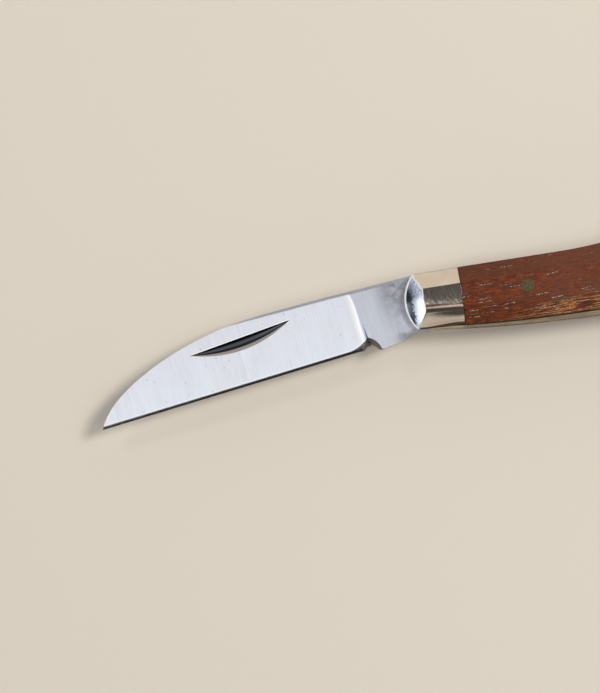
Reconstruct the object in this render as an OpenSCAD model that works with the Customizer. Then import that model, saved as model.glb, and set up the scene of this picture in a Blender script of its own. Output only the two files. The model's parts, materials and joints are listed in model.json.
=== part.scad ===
// Slip-joint pocket knife with one blade, lying open on its pile side.
// The origin is where the pivot axis meets the surface that the knife lies on.
// +X runs along the bolsters to the butt, +Y to the back, +Z up through the mark side.

/* [Blade] */
// Distance from the pivot to the point, along the cutting edge
blade_reach = 74.1; // [68:0.1:80]
// Thickness of the blade stock, kept by the tang and the spine
blade_t = 2.4; // [2:0.05:3]
// Widest height of the blade, from the cutting edge to the spine
blade_w = 13.25; // [12.8:0.05:14.5]
// Distance from the pivot to the widest place
crown_reach = 38; // [32:0.5:44]
// Height on the blade that the spine aims for as it falls to the point
point_rise = 6.9; // [5:0.1:9]
// Distance of the cutting edge's line below the pivot
edge_drop = 4.7; // [4.5:0.05:4.9]
// Angle between the cutting edge and the line of the handle, open
edge_slope = 11.75; // [11:0.05:12.4]
// Distance from the pivot to the heel of the cutting edge
heel_reach = 18.2; // [17.6:0.1:20]
// Thickness of the blade just above the sharpened band
edge_shoulder_t = 0.5; // [0.35:0.05:0.8]
// Thickness left at the cutting edge itself
edge_t = 0.06; // [0.03:0.01:0.15]
// Height of the sharpened band
sharpened_w = 0.55; // [0.4:0.05:1]
// Metal ground off each face at the point, beyond what is ground off at the plunge
point_taper = 0.08; // [0:0.01:0.1]
// Distance from the pivot to the foot of the plunge, where the grind begins to rise to the tang
plunge_reach = 17.6; // [17.3:0.1:20]
// Radius of the wheel that ran the plunge out
plunge_r = 2.4; // [1.6:0.2:6]
// Width of the chamfer along the spine
spine_chamfer = 0.6; // [0.3:0.05:0.8]
// Angle of that chamfer to the flat of the tang
chamfer_lean = 30; // [15:1:40]

/* [Nail nick] */
// Distance from the pivot to the middle of the nail nick
nick_reach = 41.3; // [39:0.1:43]
// Height of its straight side above the cutting edge
nick_rise = 10; // [9:0.1:10.5]
// Length of the nail nick
nick_l = 22; // [18:0.5:24]
// Width of the nail nick at its middle
nick_w = 2.6; // [2:0.1:3]
// Depth of the nail nick below the ground face
nick_depth = 0.75; // [0.4:0.05:0.9]
// Angle between the nail nick and the cutting edge
nick_slope = 3.1; // [0:0.1:5]

/* [Tang] */
// Height of the flats that the spring rests on, from the pivot
tang_flat = 4.7; // [4.5:0.05:4.8]
// Radius of the round part of the tang
tang_r = 4.96; // [4.9:0.01:5.1]
// Radius of the notch between the heel and the kick
notch_r = 3.7; // [3.3:0.1:4]
// Lean of the notch, which was cut from the mark side
notch_lean = 28; // [0:1:32]
// Further lean of the flank that the notch leaves at the heel
flank_lean = 15; // [0:1:20]
// Length of the kick
kick_l = 5.2; // [4:0.1:6]
// Angle that the blade turns through from open to closed
closed_angle = 166.9; // [166:0.1:167.5]

/* [Spring] */
// Distance from the pivot to the nose of the spring
nose_reach = 4.6; // [4:0.1:5]
// Distance from the pivot to the place where the kick rests, closed
seat_reach = 13.35; // [12.8:0.05:14]
// Thickness of the spring where the kick rests
seat_t = 2.55; // [2.4:0.05:2.8]
// Thickness of the spring at the middle pin
middle_t = 3.9; // [3.4:0.1:4.6]
// Thickness of the spring where its tail begins to turn down
tail_t = 4.8; // [4.2:0.1:5.4]
// Length of the block that closes the butt
butt_block = 5; // [4:0.1:5.6]

/* [Handle] */
// Room between the point of the closed blade and the end of the butt
point_room = 8.3; // [8:0.1:12]
// Height of the back over the pivot
back_rise = 6.95; // [6.8:0.05:7.3]
// Slope of the straight front of the back
back_slope = 0.066; // [0.05:0.002:0.08]
// Distance from the pivot to the place where the back begins to rise
sway_start = 27; // [22:1:32]
// Height of the back at its highest, near the butt
hump_rise = 13; // [12:0.1:14.5]
// Distance from the butt to that highest place
hump_back = 15.5; // [13:0.5:18]
// Drop of the belly at its lowest, behind the bolster
belly_drop = 5.6; // [5.4:0.05:6]
// Distance from the pivot to that lowest place
belly_low = 17.5; // [14:0.5:22]
// Drop of the belly near the butt
butt_drop = 3; // [2:0.1:4]
// Thickness of each liner
liner_t = 1; // [0.8:0.05:1.3]
// Thickness of each scale and bolster
cover_t = 3.15; // [2.8:0.05:3.6]
// Straight wall that a cover keeps at its edge
cover_wall = 0.5; // [0.3:0.05:0.7]
// Width of the flat facet along the back
facet_w = 3.7; // [3:0.1:4.2]
// Reach of the rounding along the belly
belly_round = 6.9; // [5.5:0.1:7.2]
// Distance that the wood stands back from the liner along the belly
wood_setback = 0.95; // [0.5:0.05:1.2]
// Distance that the bolster stands back from the liner along the belly
bolster_setback = 0.18; // [0.1:0.02:0.4]

/* [Bolster] */
// Distance from the pivot to the rear edge of the bolster
bolster_rear = 5.1; // [4.8:0.1:8]
// Lean of that edge towards the front at the back
joint_lean = 2.1; // [0:0.1:4]
// Distance from the pivot to the furthest place of the round front
bolster_front = 6.8; // [6.6:0.1:7.2]
// Radius of the round front
front_r = 8.7; // [8:0.1:9.5]
// Radius of the hollow scooped out of the front
scoop_r = 6; // [5:0.1:8]
// Length of the hollow on the flat of the bolster
scoop_l = 3.85; // [3.2:0.05:4.6]
// Thickness left at the foot of the hollow
scoop_rim = 0.35; // [0.25:0.05:0.6]
// Lean of the hollow across the bolster
scoop_lean = 5.5; // [0:0.5:8]

/* [Pins] */
// Diameter of the pivot pin
pivot_d = 2.8; // [2.4:0.1:3.2]
// Diameter of the middle pin and the butt pin
pin_d = 2; // [1.6:0.1:2.2]
// Diameter of the scale rivets
rivet_d = 2.7; // [2.2:0.1:3]
// Distance from the pivot to the scale rivets
rivet_reach = 18.8; // [15:0.1:24]
// Distance of the scale rivets from the middle of the handle, towards the back
rivet_offset = 0.7; // [0:0.05:1]
// Distance from the pivot to the middle pin
middle_reach = 40; // [36:0.5:44]
// Distance from the end of the butt to the butt pin
butt_pin_back = 8; // [7.5:0.1:9]
// Diameter of the hidden rivets that hold a bolster to its liner
bolster_rivet_d = 1.2; // [1:0.1:1.6]
// Half the distance between the hidden rivets
bolster_rivet_gap = 2.4; // [2.2:0.1:3]
// Distance from the bolster's rear edge to the hidden rivets
bolster_rivet_back = 2; // [1.6:0.1:2.4]
// Metal or wood left over the blind end of a hidden pin
blind_skin = 0.6; // [0.4:0.1:0.8]

/* [Clearances] */
// Gap between the blade and each liner
side_gap = 0.05; // [0.03:0.01:0.12]
// Radial gap between the pivot pin and the tang
pivot_gap = 0.03; // [0.02:0.01:0.05]
// Radial gap between the other pins and the spring
pin_gap = 0.02; // [0.01:0.01:0.05]
// Gap between the tang and the spring, and between the kick and its seat
rest_gap = 0.03; // [0.02:0.01:0.06]
// Gap between the nose of the spring and the shoulder of the blade
shoulder_gap = 0.1; // [0.05:0.01:0.2]
// Gap between a bolster and its scale
joint_gap = 0.12; // [0.05:0.01:0.2]

/* [Hidden] */
$fn = 64;

// Heights of the layers, from the surface up
slot_w = blade_t + 2 * side_gap;
pile_liner_z = cover_t;
slot_z = pile_liner_z + liner_t;
middle_z = slot_z + slot_w / 2;
mark_liner_z = slot_z + slot_w;
mark_cover_z = mark_liner_z + liner_t;
handle_t = mark_cover_z + cover_t;
// Reach of a cutter past what it cuts, and half the size of a block that keeps one side of a plane
over = 1;
far = 200;
// Points on each curve of the handle and of the blade
curve_steps = 18;

// Point at t on the curve through two ends with two handles
function curve_point(p, t) =
    pow(1 - t, 3) * p[0] + 3 * pow(1 - t, 2) * t * p[1] + 3 * (1 - t) * pow(t, 2) * p[2] + pow(t, 3) * p[3];
function curve(p, from = 0) = [for (i = [from:curve_steps]) curve_point(p, i / curve_steps)];
function turned(p, a) = [p[0] * cos(a) - p[1] * sin(a), p[0] * sin(a) + p[1] * cos(a)];
function smooth(t) = let (u = max(0, min(1, t))) u * u * (3 - 2 * u);
// Curve that leaves a and reaches b at given slopes, with handles over given shares of the way
function span(a, slope_a, share_a, b, slope_b, share_b, from = 0) =
    let (way = b[0] - a[0])
    curve([a, a + share_a * way * [1, slope_a], b - share_b * way * [1, slope_b], b], from);

// Handle outline: back from front to butt, round the butt, belly from butt to front. It runs past
// the round front, which cuts it off
front_run = 7;
stub_x = -bolster_front - front_run;
stub_drop = 0.8 * belly_drop;
butt_x = blade_reach + point_room;
hump_x = butt_x - hump_back;
butt_mid = (hump_rise - butt_drop) / 2;
// Slope of the belly under the hump, and at the front
hump_belly_slope = 0.1;
front_belly_slope = -0.043;
function back_line(x) = back_rise + back_slope * x;
back_points = concat(
    [[stub_x, back_line(stub_x)]],
    span([sway_start, back_line(sway_start)], back_slope, 0.25, [hump_x, hump_rise], 0, 0.43));
// Fullness of the butt's two corners, along the handle and across it
upper_corner = [0.58, 0.45];
lower_corner = [0.55, 0.5];
upper_pull = [upper_corner[0] * hump_back, upper_corner[1] * (hump_rise - butt_mid)];
lower_pull = [lower_corner[0] * hump_back, lower_corner[1] * (butt_mid + butt_drop)];
butt_upper = curve([[hump_x, hump_rise], [hump_x + upper_pull[0], hump_rise],
    [butt_x, hump_rise - upper_pull[1]], [butt_x, butt_mid]], 1);
butt_lower = curve([[butt_x, butt_mid], [butt_x, butt_mid - lower_pull[1]],
    [hump_x + lower_pull[0], -butt_drop + hump_belly_slope * lower_pull[0]], [hump_x, -butt_drop]], 1);
belly_points = concat(
    span([hump_x, -butt_drop], hump_belly_slope, 0.34, [belly_low, -belly_drop], 0, 0.2, 1),
    span([belly_low, -belly_drop], 0, 0.29, [stub_x, -stub_drop], front_belly_slope, 0.41, 1));
upper_points = concat(back_points, butt_upper);
outline = concat(upper_points, butt_lower, belly_points);
// Height of the back and of the belly at x
function back_y(x) = lookup(x, upper_points);
function belly_y(x) = lookup(x, [for (i = [len(belly_points) - 1:-1:0]) belly_points[i]]);

// Round front of the bolsters and liners, midway across the handle, with its sides at a slant
front_slant = 3;
front_mid = (back_y(0) + belly_y(0)) / 2;
front_centre = [front_r - bolster_front, front_mid];

// Rings of a cover: the outline drawn in as the height grows, in a facet along the back
// and in a rounding along the belly
outline_n = len(outline);
ring_angles = [0, 14, 28, 42, 56, 68, 78];
// Height by which the rounding rises past the flat that cuts it off
round_over = 0.15;
round_h = cover_t + round_over - cover_wall;
function outward(i) =
    let (d = outline[(i + 1) % outline_n] - outline[(i + outline_n - 1) % outline_n])
    [-d[1], d[0]] / norm(d);
function backness(i) = smooth((outward(i)[1] + 1) / 2);
function drawn_in(i, a, setback) =
    let (b = backness(i), h = round_h * sin(a))
    b * facet_w * h / (cover_t - cover_wall) + (1 - b) * (setback + belly_round * (1 - cos(a)));
function ring(a, z, setback) = [for (i = [0:outline_n - 1])
    let (p = outline[i] - outward(i) * drawn_in(i, a, setback)) [p[0], p[1], z]];
function cover_points(setback) = concat(
    ring(0, -over, setback),
    [for (a = ring_angles) each ring(a, cover_wall + round_h * sin(a), setback)]);
ring_n = len(ring_angles) + 1;
cover_faces = concat(
    [[for (i = [outline_n - 1:-1:0]) i]],
    [[for (i = [0:outline_n - 1]) (ring_n - 1) * outline_n + i]],
    [for (k = [0:ring_n - 2], i = [0:outline_n - 1])
        let (a = k * outline_n + i, b = k * outline_n + (i + 1) % outline_n)
        each [[a, b, b + outline_n], [a, b + outline_n, a + outline_n]]]);

// Layers put in place on the mark side and turned over for the pile side
module mark_side() { translate([0, 0, mark_cover_z]) children(); }
module pile_side() { translate([0, 0, pile_liner_z]) mirror([0, 0, 1]) children(); }

// Everything behind x on the handle's line, or in front of it, with the cut at a lean
module behind(x, lean) {
    translate([x, 0, 0]) rotate([0, 0, lean]) translate([0, -far, -far]) cube(2 * far);
}
module ahead_of(x, lean) {
    translate([x, 0, 0]) rotate([0, 0, lean]) translate([-2 * far, -far, -far]) cube(2 * far);
}

// Everything behind the round front
module front_round() {
    translate([front_centre[0], front_centre[1], -far]) cylinder(r = front_r, h = 2 * far, $fn = 96);
    behind(front_centre[0], front_slant);
}

// Whole cover with its inner face at height 0
module cover(setback) {
    intersection() {
        polyhedron(cover_points(setback), cover_faces, convexity = 4);
        translate([-far, -far, 0]) cube([2 * far, 2 * far, cover_t]);
    }
}

// Hollow scooped out of the bolster's front, deepest at the rim
scoop_rise = cover_t - scoop_rim;
scoop_chord = norm([scoop_l, scoop_rise]);
scoop_sagitta = scoop_r - sqrt(pow(scoop_r, 2) - pow(scoop_chord / 2, 2));
scoop_x = -bolster_front + scoop_l / 2 - (scoop_r - scoop_sagitta) * scoop_rise / scoop_chord;
scoop_z = scoop_rim + scoop_rise / 2 + (scoop_r - scoop_sagitta) * scoop_l / scoop_chord;
module scoop() {
    translate([0, front_mid, scoop_z]) rotate([0, 0, scoop_lean]) translate([scoop_x, 0, 0])
        rotate([90, 0, 0]) cylinder(r = scoop_r, h = far, center = true, $fn = 96);
}

// Places of the pins
pivot = [0, 0];
rivet_at = [rivet_reach, (back_y(rivet_reach) + belly_y(rivet_reach)) / 2 + rivet_offset];
middle_at = [middle_reach, back_y(middle_reach) - middle_t / 2];
butt_pin_x = butt_x - butt_pin_back;
butt_at = [butt_pin_x, back_y(butt_pin_x) - tail_t / 2];
bolster_rivet_x = bolster_rear - bolster_rivet_back;
bolster_rivet_mid = (back_y(bolster_rivet_x) + belly_y(bolster_rivet_x)) / 2;
bolster_rivets_at = [for (s = [-1, 1]) [bolster_rivet_x, bolster_rivet_mid + s * bolster_rivet_gap]];

// Round rod or hole from one height to another
module rod(at, d, from, to) { translate([at[0], at[1], from]) cylinder(d = d, h = to - from); }

// Rods of a side, measured from the inner face of its liner
module bolster_rods(extra = 0) {
    for (at = bolster_rivets_at) rod(at, bolster_rivet_d, -liner_t - extra, cover_t - blind_skin);
}

// Bolster in its side's frame
module bolster() {
    difference() {
        intersection() {
            cover(bolster_setback);
            ahead_of(bolster_rear, joint_lean);
            front_round();
        }
        scoop();
        rod(pivot, pivot_d, -over, cover_t - blind_skin);
        bolster_rods(over);
    }
}

// Scale in its side's frame
module scale_body() {
    difference() {
        intersection() {
            cover(wood_setback);
            behind(bolster_rear + joint_gap, joint_lean);
        }
        rod(rivet_at, rivet_d, -over, cover_t + over);
        rod(middle_at, pin_d, -over, cover_t + over);
        rod(butt_at, pin_d, -over, cover_t + over);
    }
}

// Liner at height z
module liner(z) {
    difference() {
        translate([0, 0, z]) intersection() {
            linear_extrude(liner_t) polygon(outline);
            front_round();
        }
        rod(pivot, pivot_d, z - over, z + liner_t + over);
        rod(rivet_at, rivet_d, z - over, z + liner_t + over);
        rod(middle_at, pin_d, z - over, z + liner_t + over);
        rod(butt_at, pin_d, z - over, z + liner_t + over);
        for (at = bolster_rivets_at) rod(at, bolster_rivet_d, z - over, z + liner_t + over);
    }
}

module mark_liner() { color("darkgoldenrod") liner(mark_liner_z); }
module pile_liner() { color("darkgoldenrod") liner(pile_liner_z); }
module mark_bolster() { color("silver") mark_side() bolster(); }
module pile_bolster() { color("silver") pile_side() bolster(); }
module mark_scale() { color("saddlebrown") mark_side() scale_body(); }
module pile_scale() { color("saddlebrown") pile_side() scale_body(); }

// Pins and rivets
module pivot_pin() { color("silver") rod(pivot, pivot_d, blind_skin, handle_t - blind_skin); }
module through_pin(at) {
    intersection() {
        rod(at, pin_d, 0, handle_t);
        union() {
            mark_side() cover(wood_setback);
            pile_side() cover(wood_setback);
            translate([0, 0, pile_liner_z]) linear_extrude(mark_cover_z - pile_liner_z) polygon(outline);
        }
    }
}
module middle_pin() { color("olive") through_pin(middle_at); }
module butt_pin() { color("olive") through_pin(butt_at); }
module scale_rivet() { color("olive") rod(rivet_at, rivet_d, -liner_t, cover_t); }
module mark_scale_rivet() { mark_side() scale_rivet(); }
module pile_scale_rivet() { pile_side() scale_rivet(); }
module mark_bolster_rivets() { color("silver") mark_side() bolster_rods(); }
module pile_bolster_rivets() { color("silver") pile_side() bolster_rods(); }

// Inner side of the spring, from the nose to the belly at the butt
nose_y = tang_flat + rest_gap;
seat_y = back_y(seat_reach) - seat_t;
point_back = 3.5;
tail_x = butt_x - point_room - point_back;
block_x = butt_x - butt_block;
block_lean = 1.6;
spring_steps = 10;
function spring_t(x) = lookup(x, [[seat_reach, seat_t], [middle_reach, middle_t], [tail_x, tail_t]]);
function spring_x(i) = seat_reach + (tail_x - seat_reach) * i / spring_steps;
spring_inner = concat(
    [[-nose_reach, nose_y], [tang_flat / 2, nose_y]],
    [for (i = [0:spring_steps]) [spring_x(i), back_y(spring_x(i)) - spring_t(spring_x(i))]],
    [[block_x - block_lean, butt_mid], [block_x, 0], [block_x, -far]]);
module back_spring() {
    color("lightslategray") difference() {
        translate([0, 0, slot_z + side_gap]) intersection() {
            linear_extrude(blade_t) polygon(outline);
            linear_extrude(blade_t) polygon(concat(spring_inner, [[far, -far], [far, far], [-nose_reach, far]]));
        }
        rod(middle_at, pin_d + 2 * pin_gap, 0, handle_t);
        rod(butt_at, pin_d + 2 * pin_gap, 0, handle_t);
    }
}

// Places on the blade: distance from the pivot along the edge and height above the edge,
// turned into the frame of the open knife
function on_blade(p) = turned([-p[0], p[1] - edge_drop], edge_slope);
function to_blade(p) = let (q = turned(p, -edge_slope)) [-q[0], q[1] + edge_drop];
// Places on the tang are given as they lie when the blade is closed
function as_closed(p) = turned(p, -closed_angle);

shoulder_x = -nose_reach - shoulder_gap;
shoulder_top = to_blade([shoulder_x, back_y(shoulder_x) - shoulder_gap]);
// Slope of the spine at the shoulder, and the run over which it falls steeply at the point
spine_slope = 0.0375;
point_run = 3.1;
crown = [crown_reach, blade_w];
spine_fall = 0.43 * (blade_reach - crown_reach);
spine = concat(
    span(shoulder_top, spine_slope, 0.37, crown, 0, 0.34),
    curve([crown, crown + [spine_fall, 0], [blade_reach - point_run, point_rise], [blade_reach, 0]], 1));
// Kick: its face falls off towards the pivot and then steps down to the relief ahead of the flat
kick_taper = 0.4;
kick_step = [1.1, 0.9];
flat_reach = 3.6;
kick_front = [seat_reach, seat_y - rest_gap];
kick_rear = kick_front - [kick_l, kick_taper];
kick_relief = kick_rear - kick_step;
// Both flats end just inside the round part of the tang
flat_end = 0.94 * sqrt(pow(tang_r, 2) - pow(tang_flat, 2));
blade_outline = concat(
    [for (p = spine) on_blade(p)],
    [on_blade([heel_reach, 0])],
    [for (p = [kick_front, kick_rear, kick_relief, [flat_reach, tang_flat], [-flat_end, tang_flat]])
        as_closed(p)],
    [[flat_end, tang_flat], [shoulder_x, tang_flat]]);

// Round part of the tang between its two flats
module tang_round() {
    intersection() {
        cylinder(r = tang_r, h = blade_t, $fn = 96);
        translate([-far, tang_flat - 2 * far, -far]) cube(2 * far);
        rotate([0, 0, -closed_angle]) translate([-far, tang_flat - 2 * far, -far]) cube(2 * far);
    }
}

// Frame on the mark face of the blade at a place on it, leaned by the grind and sunk by the taper
grind_lean = atan((blade_t - edge_shoulder_t) / 2 / (blade_w - sharpened_w));
taper_lean = atan(point_taper / (blade_reach - plunge_reach));
module on_ground_face(reach) {
    rotate([0, 0, edge_slope]) translate([-plunge_reach, blade_w - edge_drop, blade_t / 2])
        rotate([grind_lean, -taper_lean, 0]) translate([plunge_reach - reach, 0, 0]) children();
}

// Metal ground away from the mark side: the flat, its plunge, and the sharpened band, which starts
// a little ahead of the heel
band_lead = 0.6;
band_lean = atan((edge_shoulder_t - edge_t) / 2 / sharpened_w);
module ground_away() {
    on_ground_face(plunge_reach) {
        translate([-2 * far, -far, 0]) cube([2 * far, 2 * far, blade_t]);
        translate([0, 0, plunge_r]) rotate([90, 0, 0])
            cylinder(r = plunge_r, h = far, center = true, $fn = 96);
    }
    rotate([0, 0, edge_slope])
        translate([-heel_reach + band_lead, sharpened_w - edge_drop, edge_shoulder_t / 2])
        rotate([band_lean, 0, 0]) translate([-far, -far / 2, 0]) cube([far, far, blade_t]);
}

// Metal taken off by the chamfer, which runs straight from the shoulder and fades out by the crown
module spine_edge() {
    rotate([0, 0, edge_slope])
        translate([-shoulder_top[0], shoulder_top[1] - edge_drop - spine_chamfer, blade_t / 2])
        rotate([-chamfer_lean, 0, -atan(spine_slope)]) translate([-far, 0, 0]) cube([2 * far, far, blade_t]);
}

// Nail nick: a wheel with a steep side towards the spine and a slope towards the edge
nick_wheel_r = (pow(nick_l / 2, 2) + pow(nick_depth, 2)) / (2 * nick_depth);
module nail_nick() {
    on_ground_face(nick_reach) translate([0, nick_rise - blade_w, nick_wheel_r - nick_depth])
        rotate([90, 0, nick_slope])
        cylinder(r1 = nick_wheel_r, r2 = nick_wheel_r - nick_depth, h = nick_w, $fn = 180);
}

// Notch between the heel and the kick, cut at a lean, and the flank that it leaves at the heel
notch_back = 0.95;
notch_drop = 1.55;
flank_slope = 0.9;
module notch() {
    rotate([0, 0, edge_slope]) translate([notch_back - heel_reach, -notch_drop - edge_drop, blade_t / 2])
        rotate([-notch_lean, 0, 0]) difference() {
        cylinder(r = notch_r, h = far, center = true);
        translate([-notch_back, notch_drop * cos(notch_lean), 0])
            rotate([0, 0, atan(flank_slope * cos(notch_lean))]) rotate([-flank_lean, 0, 0])
            translate([-far, 0, -far]) cube(2 * far);
    }
}

module blade() {
    color("lightsteelblue") translate([0, 0, middle_z]) difference() {
        translate([0, 0, -blade_t / 2]) union() {
            linear_extrude(blade_t) polygon(blade_outline);
            tang_round();
        }
        for (side = [0, 1]) mirror([0, 0, side]) {
            ground_away();
            spine_edge();
        }
        nail_nick();
        notch();
        translate([0, 0, -blade_t]) cylinder(d = pivot_d + 2 * pivot_gap, h = 2 * blade_t);
    }
}

blade();
back_spring();
mark_liner();
pile_liner();
mark_bolster();
pile_bolster();
mark_scale();
pile_scale();
pivot_pin();
middle_pin();
butt_pin();
mark_scale_rivet();
pile_scale_rivet();
mark_bolster_rivets();
pile_bolster_rivets();
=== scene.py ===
import json
import math
from collections import namedtuple

import bmesh
import bpy
from mathutils import Matrix, Vector


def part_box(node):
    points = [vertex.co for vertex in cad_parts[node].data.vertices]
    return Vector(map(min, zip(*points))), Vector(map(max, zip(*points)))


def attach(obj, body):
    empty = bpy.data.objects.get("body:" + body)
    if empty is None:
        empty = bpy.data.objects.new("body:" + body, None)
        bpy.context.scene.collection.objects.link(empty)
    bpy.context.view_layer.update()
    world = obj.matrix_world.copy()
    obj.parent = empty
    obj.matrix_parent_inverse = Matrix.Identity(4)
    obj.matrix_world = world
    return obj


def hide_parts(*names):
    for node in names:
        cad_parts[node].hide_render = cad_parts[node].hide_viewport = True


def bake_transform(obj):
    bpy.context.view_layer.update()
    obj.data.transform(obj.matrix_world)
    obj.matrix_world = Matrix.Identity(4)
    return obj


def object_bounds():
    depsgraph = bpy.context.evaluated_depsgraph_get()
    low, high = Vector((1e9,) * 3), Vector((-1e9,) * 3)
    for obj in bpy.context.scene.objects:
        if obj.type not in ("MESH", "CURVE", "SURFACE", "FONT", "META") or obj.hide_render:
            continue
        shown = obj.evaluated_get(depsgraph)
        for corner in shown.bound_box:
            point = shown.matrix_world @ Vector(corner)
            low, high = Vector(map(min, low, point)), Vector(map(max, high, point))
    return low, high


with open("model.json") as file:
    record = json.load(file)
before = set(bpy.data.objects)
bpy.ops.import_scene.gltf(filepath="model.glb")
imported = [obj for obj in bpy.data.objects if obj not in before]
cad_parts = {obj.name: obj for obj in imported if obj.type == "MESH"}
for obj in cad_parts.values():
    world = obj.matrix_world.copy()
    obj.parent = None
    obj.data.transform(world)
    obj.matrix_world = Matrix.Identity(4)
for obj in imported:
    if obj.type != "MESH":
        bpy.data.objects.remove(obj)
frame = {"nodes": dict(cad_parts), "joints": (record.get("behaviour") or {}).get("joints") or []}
cad_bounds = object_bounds()

# The knife lies on its pile side. +X runs along the handle to the butt, +Y to the back,
# +Z up through the mark side, and the pivot axis passes through x = y = 0.
MM = 0.001
record_joints = {joint["name"]: joint for joint in frame["joints"]}
pivot_z = record_joints["blade_pivot"]["pos_m"][2] / MM


def box_mm(node):
    """Lowest and highest corner of a CAD node, in millimetres."""
    low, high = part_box(node)
    return low / MM, high / MM


liner_top = box_mm("mark_liner")[1].z
cover_low, cover_high = box_mm("mark_scale")
cover_t = cover_high.z - cover_low.z
bolster_front = box_mm("mark_bolster")[0].x

# Sizes and places are in millimetres, unless MM turns them into metres. Those of the floor and the lamps
# are in metres.

# Section of a cover: a straight wall, then a facet, steeper along the belly, and the flat on top. Along the
# back: the height of the wall and how far in the facet ends. On both sides: the low round between wall and
# facet, and the high one between facet and flat
Rounds = namedtuple("Rounds", "low high")
BACK_WALL = 0.5
BACK_FACET = 3.7
BACK_ROUNDS = Rounds(0.25, 0.3)
BELLY_ROUNDS = Rounds(0.35, 0.8)
# The belly side of the wood and of the bolster, at the front and further back: how far its foot stands
# back from the liner's edge, the lean of its wall, the height of its wall, and how far in the facet ends
BellySide = namedtuple("BellySide", "setback lean wall facet")
WOOD_FRONT_BELLY = BellySide(0.4, 0.25, 1.2, 4.25)
WOOD_BELLY = BellySide(0.95, 0.25, 1.2, 4.25)
FRONT_BELLY = BellySide(0.02, 0.2, 0.3, 3.6)
BOLSTER_BELLY = BellySide(0.42, 0.6, 1.0, 3.9)
# Place along the handle from which the wood's belly side stays the same
WOOD_EVEN = 34.0
# Places along the handle between which the bolster's belly changes from its front to its rear section
FLARE = (-3.8, 4.6)
# How far the belly facet bulges between the two rounds, and the same at the bolster's front
BELLY_BULGE = 0.11
FRONT_BULGE = 0.06
# Rear edge of the bolster, the lean of that edge, and the gap to the wood
JOINT_X = 5.1
JOINT_LEAN = math.radians(2.1)
JOINT_GAP = 0.12
# Hollow in the bolster's front: its radius, its length on the flat, the metal left at the rim, its lean
SCOOP_RADIUS = 12.0
SCOOP_LENGTH = 3.9
SCOOP_RIM = 0.35
SCOOP_LEAN = math.radians(5.5)
# How much deeper the hollow is ground towards the back and the belly, by the square of the distance
BACK_DIP = 0.041
BELLY_DIP = 0.040
# Angle between the cutting edge and the handle, and how far under the pivot the edge's line passes
EDGE_SLOPE = math.radians(11.75)
EDGE_DROP = 4.7
# Places on the blade, along the edge from under the pivot to the point, and above the edge: the nail nick's
# middle, the reach round it in which its faces lie, the height and half length of its straight side, its
# width and slope, the heel where the notch starts, the notch's end by the kick and its top, and the strip
# at the very edge
NICK_MIDDLE = (41.3, 8.9)
NICK_REACH = (12.0, 2.4)
NICK_TOP = 10.0
NICK_HALF_LENGTH = 11.0
NICK_WIDTH = 2.6
NICK_SLOPE = math.radians(3.1)
HEEL = 18.3
NOTCH_END = 11.6
NOTCH_TOP = 3.4
BAND_START = HEEL - 1
BAND_TOP = 0.7


# Meshes


# How near to each other the corners of a CAD mesh are joined
JOIN_REACH = 0.004 * MM
# Turn between two faces up to which they are made one, angle of a corner up to which it is a needle, and
# turn from which an edge is shaded sharp
FLAT_TURN = math.radians(0.2)
NEEDLE_CORNER = math.radians(0.02)
SHARP_TURN = math.radians(35)


def joined_copy(node):
    """Bmesh of a CAD node with its loose triangles joined and its flat faces made whole."""
    bm = bmesh.new()
    bm.from_mesh(frame["nodes"][node].data)
    bmesh.ops.remove_doubles(bm, verts=bm.verts, dist=JOIN_REACH)
    bmesh.ops.dissolve_limit(bm, angle_limit=FLAT_TURN, verts=bm.verts, edges=bm.edges)
    drop_needles(bm)
    bm.normal_update()
    return bm


def drop_needles(bm):
    """Where a face runs out to a corner and straight back, split the longer side where the shorter one
    starts and join the two, so that the needle between them is gone."""
    for face in bm.faces[:]:
        for loop in face.loops[:]:
            tip, before, after = loop.vert, loop.link_loop_prev.vert, loop.link_loop_next.vert
            if (before.co - tip.co).angle(after.co - tip.co) > NEEDLE_CORNER:
                continue
            short = min((before.co - tip.co).length, (after.co - tip.co).length)
            for edge in (loop.edge, loop.link_loop_prev.edge):
                if edge.calc_length() > short + JOIN_REACH:
                    bmesh.utils.edge_split(edge, tip, short / edge.calc_length())
            break
    bmesh.ops.remove_doubles(bm, verts=bm.verts, dist=JOIN_REACH)


def soften(bm, width, angle, chosen=lambda edge: True):
    """Round the chosen edges of a bmesh that turn by more than an angle, to a width in millimetres."""
    sharp = [e for e in bm.edges if e.calc_face_angle(0.0) > angle and chosen(e)]
    bmesh.ops.bevel(bm, geom=sharp, offset=width * MM, offset_type="OFFSET", affect="EDGES",
                    segments=2, profile=0.5, material=-1, clamp_overlap=True)
    bm.normal_update()


def as_object(name, bm, materials):
    """Object at the origin that holds a bmesh, shaded smooth but for its sharp edges and the edges
    between two finishes."""
    for edge in bm.edges:
        finishes = {face.material_index for face in edge.link_faces}
        edge.smooth = len(finishes) == 1 and edge.calc_face_angle(0.0) < SHARP_TURN
    mesh = bpy.data.meshes.new(name)
    bm.to_mesh(mesh)
    bm.free()
    mesh.shade_smooth()
    for material in materials:
        mesh.materials.append(material)
    obj = bpy.data.objects.new(name, mesh)
    bpy.context.scene.collection.objects.link(obj)
    return obj


def dress(obj, body, slot, *nodes):
    """Put a finished piece on its body in place of the CAD nodes that it stands for."""
    weighted = obj.modifiers.new("weighted normals", "WEIGHTED_NORMAL")
    weighted.keep_sharp = True
    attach(obj, body)
    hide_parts(*nodes)


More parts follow.
